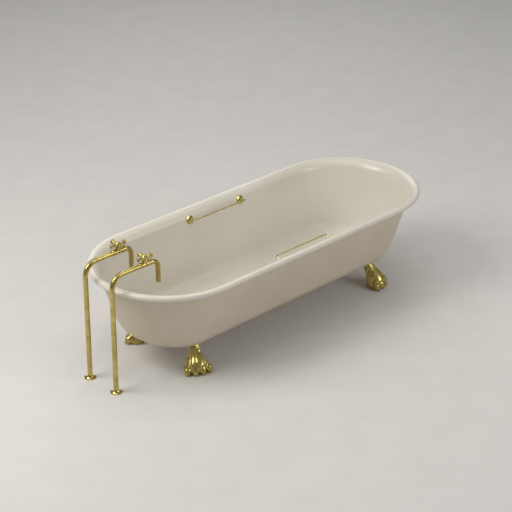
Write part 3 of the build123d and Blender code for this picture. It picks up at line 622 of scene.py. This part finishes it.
def foot_field(p, to_world):
    """The paw: leg, panel, ridges, four clawed toes with tendons, and locks of hair."""
    x, y, z = p[..., 0], p[..., 1], p[..., 2]
    middle, half_length, half_width = leg_section(np.clip(z, 0.0, FOOT_RISE))
    radial = np.sqrt(((x - middle) / half_length) ** 2 + (y / half_width) ** 2)
    field = (radial - 1.0) * np.minimum(half_length, half_width) * LEG_SLOPE
    # the smooth hollow panel down the front of the leg, between two ridges
    field = -blend(-field, leg_bar(p, 1, PANEL_TOP, PANEL_FOOT), PANEL_BLEND)
    for side in (-1, 1):
        upper = leg_bar(p, side, RIDGE_TOP, RIDGE_BEND)
        lower = leg_bar(p, side, RIDGE_BEND, RIDGE_FOOT)
        field = blend(field, blend(upper, lower, RIDGE_BLEND), RIDGE_BLEND)
    for place in TOE_PLACES:
        upper = toe_bar(p, place, KNUCKLE, TOE_MIDDLE)
        toe = blend(upper, toe_bar(p, place, TOE_MIDDLE, TOE_END), TOE_BLEND)
        toe = blend(toe, toe_bar(p, place, CLAW_ROOT, CLAW_END), CLAW_BLEND)
        field = blend(field, toe, TOE_BLEND)
        field = blend(field, toe_bar(p, place, TENDON_TOP, TENDON_FOOT), TENDON_BLEND)
    # locks of hair low on the back of each side
    for side in (-1, 1):
        for angle, top in LOCKS:
            root = (top, angle, LOCK_LIFT, LOCK_ROOT_RADIUS)
            end = (top - LOCK_DROP, angle - LOCK_SWEEP, 0.0, LOCK_END_RADIUS)
            field = blend(field, leg_bar(p, side, root, end), LOCK_BLEND)
    # the pocket behind for the bolt, and the socket above it for the shell's boss
    from_boss = np.hypot(x + BOSS_BACK, y)
    beyond_pocket = np.maximum(z - POCKET_ROOF, POCKET_FLOOR - z)
    pocket = np.maximum(np.abs(y) - POCKET_HALF_WIDTH, beyond_pocket)
    round_end = np.where(x > -BOSS_BACK, from_boss - POCKET_HALF_WIDTH, WELL_INSIDE)
    field = np.maximum(field, -np.maximum(pocket, round_end))
    field = np.maximum(field, -np.maximum(from_boss - BOSS_RADIUS - SOCKET_PLAY, BOSS_Z - z))
    # the seat under the hull, and the flat sole
    field = np.maximum(field, HULL_GAP - hull_field(*to_world(x, y), z))
    return np.maximum(field, -z)


def surface_net(field, low, step, counts):
    """Vertices and quads of a field's zero surface on a regular grid."""
    nx, ny, nz = counts
    inside = field < 0
    corner = {}
    crossings = np.zeros((nx - 1, ny - 1, nz - 1, 3))
    number = np.zeros((nx - 1, ny - 1, nz - 1))
    offsets = [(i, j, k) for i in (0, 1) for j in (0, 1) for k in (0, 1)]
    for o in offsets:
        corner[o] = field[o[0] : nx - 1 + o[0], o[1] : ny - 1 + o[1], o[2] : nz - 1 + o[2]]
    # a cell's vertex is the mean of the points where its edges cross the surface
    for axis in range(3):
        for o in offsets:
            if o[axis]:
                continue
            far = list(o)
            far[axis] = 1
            f0, f1 = corner[o], corner[tuple(far)]
            cut = (f0 < 0) != (f1 < 0)
            t = np.where(cut, f0 / np.where(cut, f0 - f1, 1.0), 0.0)
            for d in range(3):
                value = o[d] + (t if d == axis else 0.0)
                crossings[..., d] += np.where(cut, value, 0.0)
            number += cut
    used = number > 0
    index = np.full(used.shape, -1)
    index[used] = np.arange(used.sum())
    cells = np.argwhere(used)
    verts = low + (cells + crossings[used] / number[used][:, None]) * step
    # each grid edge that crosses the surface gives a quad of the four cells round it
    faces = []
    for axis in range(3):
        take = [slice(1, -1)] * 3
        take[axis] = slice(0, -1)
        ahead = [slice(1, -1)] * 3
        ahead[axis] = slice(1, None)
        first = inside[tuple(take)]
        second = inside[tuple(ahead)]
        du = np.zeros(3, int)
        dv = np.zeros(3, int)
        du[(axis + 1) % 3] = 1
        dv[(axis + 2) % 3] = 1
        for flip, hit in ((False, first & ~second), (True, ~first & second)):
            base = np.argwhere(hit) + 1
            base[:, axis] -= 1
            quad = [base - du - dv, base - dv, base, base - du]
            ids = np.stack([index[tuple(q.T)] for q in quad], axis=1)
            faces.append(ids[:, ::-1] if flip else ids)
    return verts, np.concatenate(faces)


def draw_onto_surface(verts, field):
    """Vertices moved down the field's slope until they lie on its zero surface."""
    for _ in range(DRAWS):
        value = field(verts)
        gradient = np.zeros_like(verts)
        for d in range(3):
            shift = np.zeros(3)
            shift[d] = PROBE
            gradient[:, d] = (field(verts + shift) - field(verts - shift)) / (2 * PROBE)
        size = np.maximum((gradient**2).sum(1), LEAST_SLOPE)
        move = -(value / size)[:, None] * gradient
        length = np.linalg.norm(move, axis=1, keepdims=True)
        move *= np.minimum(1.0, LONGEST_MOVE / np.maximum(length, TINY))
        verts = verts + move
    return verts


def build_foot(name, sx, sy, grid, counts):
    """One foot, at the corner of the tub that the two signs give."""
    ahead_x, ahead_y = sx * math.cos(FOOT_TURN), sy * math.sin(FOOT_TURN)
    foot_x, foot_y = TUB_X + sx * FOOT_X, sy * FOOT_Y

    def to_world(x, y):
        return foot_x + x * ahead_x - y * ahead_y, foot_y + x * ahead_y + y * ahead_x

    def field(p):
        return foot_field(p, to_world)

    verts, faces = surface_net(field(grid), GRID_LOW, GRID_STEP, counts)
    verts = draw_onto_surface(verts, field)
    wx, wy = to_world(verts[:, 0], verts[:, 1])
    world = np.stack([wx, wy, np.maximum(verts[:, 2], 0.0)], axis=1)
    foot = mesh_object(f"lion_paw_{name}", world.tolist(), faces.tolist(), [CAST_BRASS])
    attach(foot, "root")
    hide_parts(f"paw_foot_{name}")


def build_feet():
    counts = np.ceil((GRID_HIGH - GRID_LOW) / GRID_STEP).astype(int) + 1
    axes = [GRID_LOW[d] + GRID_STEP * np.arange(counts[d]) for d in range(3)]
    grid = np.stack(np.meshgrid(*axes, indexing="ij"), axis=-1)
    build_foot("tap_end_near", -1, -1, grid, counts)
    build_foot("tap_end_far", -1, 1, grid, counts)
    build_foot("head_end_near", 1, -1, grid, counts)
    build_foot("head_end_far", 1, 1, grid, counts)


# Stage, lamps and camera


def build_stage():
    """A plain pale floor and a soft world."""
    mat, tree, bsdf = new_material("pale_floor")
    grain = noise(tree, coords(tree), 6.0, 6.0, 0.6)
    colour = ramp(tree, grain, 0.3, (0.70, 0.69, 0.67), 0.7, (0.74, 0.73, 0.71))
    tree.links.new(colour, bsdf.inputs["Base Color"])
    bsdf.inputs["Roughness"].default_value = 0.75
    signs = ((-1, -1), (1, -1), (1, 1), (-1, 1))
    corners = [(sx * FLOOR_REACH, sy * FLOOR_REACH, 0) for sx, sy in signs]
    floor = mesh_object("studio_floor", corners, [(0, 1, 2, 3)], [mat])

    world = bpy.data.worlds.new("studio")
    bpy.context.scene.world = world
    world.use_nodes = True
    background = world.node_tree.nodes["Background"]
    background.inputs["Color"].default_value = WORLD_COLOUR
    background.inputs["Strength"].default_value = WORLD_STRENGTH


def area_lamp(name, place, size, power, colour):
    data = bpy.data.lights.new(name, "AREA")
    data.shape = "RECTANGLE"
    data.size, data.size_y = size
    data.energy = power
    data.color = colour
    lamp = bpy.data.objects.new(name, data)
    lamp.location = place
    direction = Vector(LAMP_AIM) - Vector(place)
    lamp.rotation_euler = direction.to_track_quat("-Z", "Y").to_euler()
    bpy.context.scene.collection.objects.link(lamp)


def build_camera():
    """The camera at the photograph's angle, looking along +Y turned towards +X."""
    level = math.cos(CAMERA_DOWN)
    direction = Vector(
        (math.sin(CAMERA_TURN) * level, math.cos(CAMERA_TURN) * level, -math.sin(CAMERA_DOWN))
    )
    data = bpy.data.cameras.new("photo_view")
    data.sensor_width = CAMERA_SENSOR
    data.lens = CAMERA_LENS
    data.dof.use_dof = False
    data.clip_end = CAMERA_FAR
    camera = bpy.data.objects.new("photo_view", data)
    camera.location = CAMERA_PLACE
    camera.rotation_euler = direction.to_track_quat("-Z", "Y").to_euler()
    bpy.context.scene.collection.objects.link(camera)
    bpy.context.scene.camera = camera


build_tub()
build_feet()
build_stage()
for lamp_name, lamp_values in LAMPS.items():
    area_lamp(lamp_name, *lamp_values)
build_camera()
bpy.context.scene.view_settings.view_transform = "Standard"
